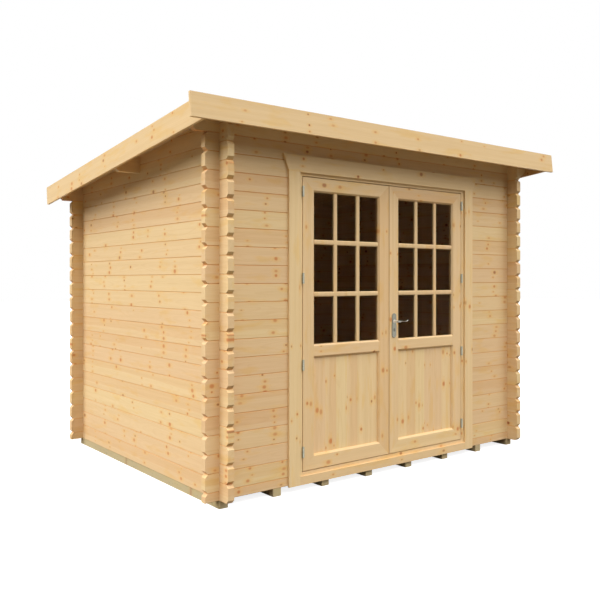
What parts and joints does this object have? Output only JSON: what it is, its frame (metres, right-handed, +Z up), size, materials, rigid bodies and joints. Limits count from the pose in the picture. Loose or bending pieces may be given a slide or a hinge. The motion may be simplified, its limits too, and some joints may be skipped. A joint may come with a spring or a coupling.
{
  "type": "log cabin",
  "caption": "Log cabin of logs that interlock at the corners, under a pent roof of boards, on bearers, with half-glazed doors, hinges and a lever handle.",
  "frame": {"origin": "plan centre of the roof at ground level, on the undersides of the bearers", "axes": "+X to the right along the front, seen from outside; +Y from the front to the back; +Z up"},
  "size_m": [3.408, 2.6036, 2.3995],
  "materials": {
    "spruce_logs": "planed, untreated",
    "spruce_roof_boards": "planed, untreated",
    "spruce_floor": "planed, untreated",
    "spruce_joinery": "planed, untreated",
    "spruce_panel": "planed, untreated",
    "treated_bearers": "sawn, pressure treated",
    "window_glass": "clear",
    "hinge_steel": "zinc plated",
    "handle_steel": "satin"
  },
  "bodies": {
    "cabin": {"front_left_logs_a": "spruce_logs", "front_left_logs_b": "spruce_logs", "front_right_logs_a": "spruce_logs", "front_right_logs_b": "spruce_logs", "front_lintel_log": "spruce_logs", "front_upper_log": "spruce_logs", "front_top_log": "spruce_logs", "back_logs_a": "spruce_logs", "back_logs_b": "spruce_logs", "back_top_log": "spruce_logs", "left_logs_a": "spruce_logs", "left_logs_b": "spruce_logs", "right_logs_a": "spruce_logs", "right_logs_b": "spruce_logs", "mid_purlin": "spruce_logs", "roof_deck": "spruce_roof_boards", "front_fascia": "spruce_roof_boards", "left_bargeboard": "spruce_roof_boards", "right_bargeboard": "spruce_roof_boards", "floor_deck": "spruce_floor", "bearers": "treated_bearers", "left_jamb": "spruce_joinery", "right_jamb": "spruce_joinery", "frame_head": "spruce_joinery", "door_sill": "spruce_joinery", "left_casing": "spruce_joinery", "right_casing": "spruce_joinery", "head_casing": "spruce_joinery", "sill_casing": "spruce_joinery", "left_frame_hinges": "hinge_steel", "right_frame_hinges": "hinge_steel"},
    "left_door": {"left_door_stiles": "spruce_joinery", "left_door_rails": "spruce_joinery", "left_door_panel": "spruce_panel", "left_door_glass": "window_glass", "left_door_hinges": "hinge_steel"},
    "right_door": {"right_door_stiles": "spruce_joinery", "right_door_rails": "spruce_joinery", "right_door_panel": "spruce_panel", "right_door_glass": "window_glass", "right_door_hinges": "hinge_steel", "outer_backplate": "handle_steel", "inner_backplate": "handle_steel"},
    "door_lever": {"door_lever": "handle_steel"}
  },
  "joints": [
    {"name": "left_door_hinge", "type": "hinge", "parent": "cabin", "child": "left_door", "pos_m": [-0.7785, -1.10817, 1.0765], "axis": [0, 0, -1], "range_deg": [0, 160]},
    {"name": "right_door_hinge", "type": "hinge", "parent": "cabin", "child": "right_door", "pos_m": [0.7785, -1.10817, 1.0765], "axis": [0, 0, 1], "range_deg": [0, 160]},
    {"name": "lever_pivot", "type": "hinge", "parent": "right_door", "child": "door_lever", "pos_m": [0.0475, -1.10017, 1.065], "axis": [0, 1, 0], "range_deg": [0, 40], "stiffness_Nm_per_rad": 1, "springref_deg": -28.65}
  ]
}
